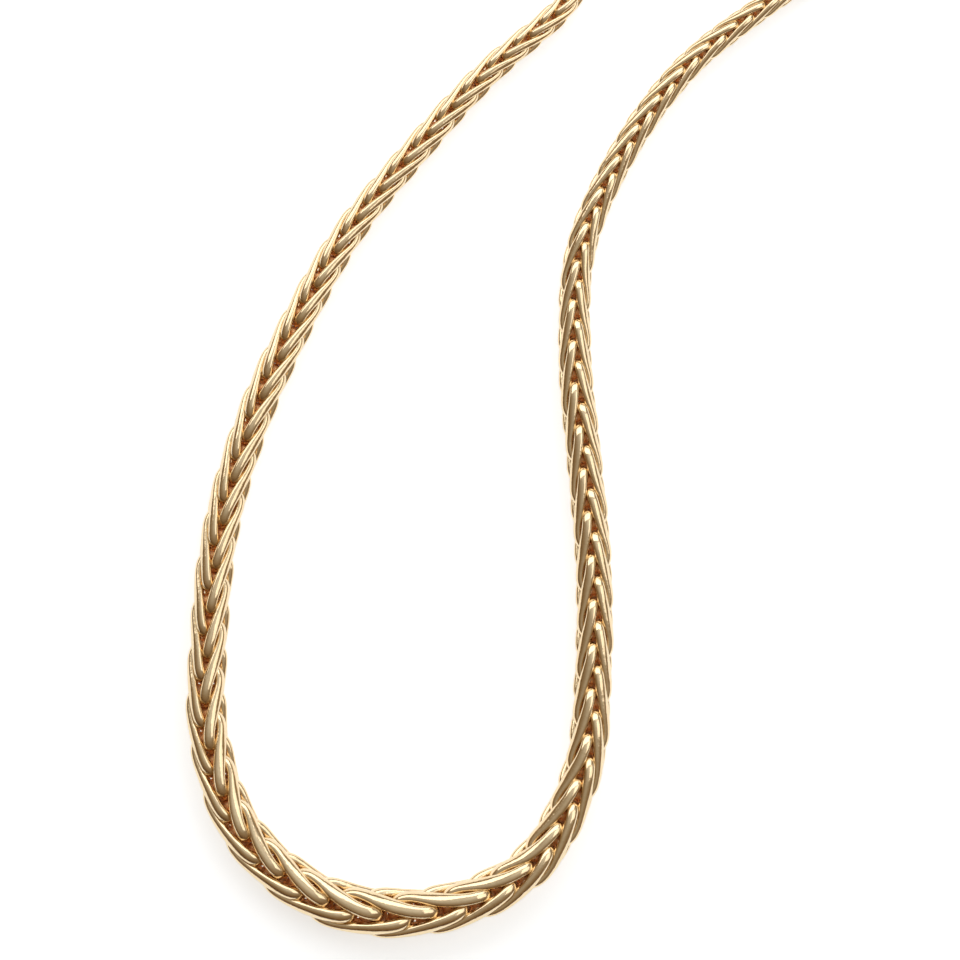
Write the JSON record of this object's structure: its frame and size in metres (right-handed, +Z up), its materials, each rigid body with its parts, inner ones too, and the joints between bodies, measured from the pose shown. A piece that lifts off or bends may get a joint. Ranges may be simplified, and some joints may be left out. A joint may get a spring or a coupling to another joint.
{
  "type": "graduated wheat chain necklace",
  "caption": "Closed necklace of interlocked quarter-turned oval wire links in a wheat-ear pattern, widest at the front and tapering to a small barrel clasp.",
  "frame": {"origin": "centre of the closed necklace's box, on the surface that it lies on", "axes": "+Z up from the surface, +Y from the front of the necklace towards the clasp, +X to the right seen from above"},
  "size_m": [0.1119, 0.1837, 0.0084],
  "materials": {
    "polished_gold": "polished",
    "clasp_gold": "polished"
  },
  "bodies": {
    "root": {"chain_left": "polished_gold", "chain_right": "polished_gold", "clasp": "clasp_gold"}
  },
  "joints": []
}
